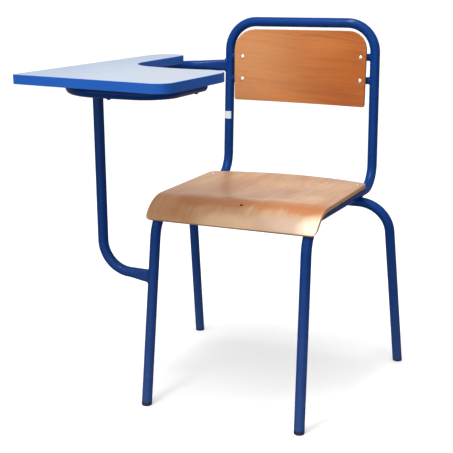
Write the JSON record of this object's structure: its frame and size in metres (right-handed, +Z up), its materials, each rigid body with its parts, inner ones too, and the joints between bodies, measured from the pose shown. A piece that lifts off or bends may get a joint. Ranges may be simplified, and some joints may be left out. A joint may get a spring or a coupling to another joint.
{
  "type": "student desk chair",
  "caption": "Plywood classroom chair on a bent steel tube frame, with a fixed writing tablet carried at the sitter's right by its own tube loop and post.",
  "frame": {"origin": "on the floor, under the centre of the whole part's bounding box", "axes": "+Z up, -Y the way the sitter faces, +X to the sitter's left; the tablet is on the -X side"},
  "size_m": [0.6208, 0.7114, 0.8001],
  "materials": {
    "blue_tube_paint": "gloss paint",
    "seat_plywood": "satin varnish",
    "back_plywood": "satin varnish",
    "particleboard": "raw",
    "grey_laminate": "fine satin texture",
    "backing_laminate": "matt",
    "blue_edge_band": "satin",
    "dark_plastic": "moulded",
    "bright_rivet": "bright",
    "dark_screw": "dark zinc",
    "white_label": "satin film"
  },
  "bodies": {
    "root": {"arch_weld_left": "blue_tube_paint", "arch_weld_right": "blue_tube_paint", "back_bar_weld_lower_left": "blue_tube_paint", "back_bar_weld_lower_right": "blue_tube_paint", "back_bar_weld_upper_left": "blue_tube_paint", "back_bar_weld_upper_right": "blue_tube_paint", "back_crossbar_lower": "blue_tube_paint", "back_crossbar_upper": "blue_tube_paint", "back_panel": "back_plywood", "back_rivet_lower_left": "bright_rivet", "back_rivet_lower_right": "bright_rivet", "back_rivet_upper_left": "bright_rivet", "back_rivet_upper_right": "bright_rivet", "front_bar_weld_left": "blue_tube_paint", "front_bar_weld_right": "blue_tube_paint", "front_left_glide": "dark_plastic", "front_right_glide": "dark_plastic", "label_band": "white_label", "main_frame_tube": "blue_tube_paint", "post_foot_weld": "blue_tube_paint", "post_top_weld": "blue_tube_paint", "rear_left_glide": "dark_plastic", "rear_leg_tube": "blue_tube_paint", "rear_right_glide": "dark_plastic", "seat_front_crossbar": "blue_tube_paint", "seat_front_screw": "dark_screw", "seat_panel": "seat_plywood", "seat_rivet_left": "bright_rivet", "seat_rivet_right": "bright_rivet", "support_tube_plug": "dark_plastic", "support_tube_weld": "blue_tube_paint", "tablet_backing_laminate": "backing_laminate", "tablet_core": "particleboard", "tablet_edge_band": "blue_edge_band", "tablet_post": "blue_tube_paint", "tablet_screw_1": "dark_screw", "tablet_screw_2": "dark_screw", "tablet_screw_3": "dark_screw", "tablet_screw_4": "dark_screw", "tablet_screw_5": "dark_screw", "tablet_support_tube": "blue_tube_paint", "tablet_top_laminate": "grey_laminate"}
  },
  "joints": []
}
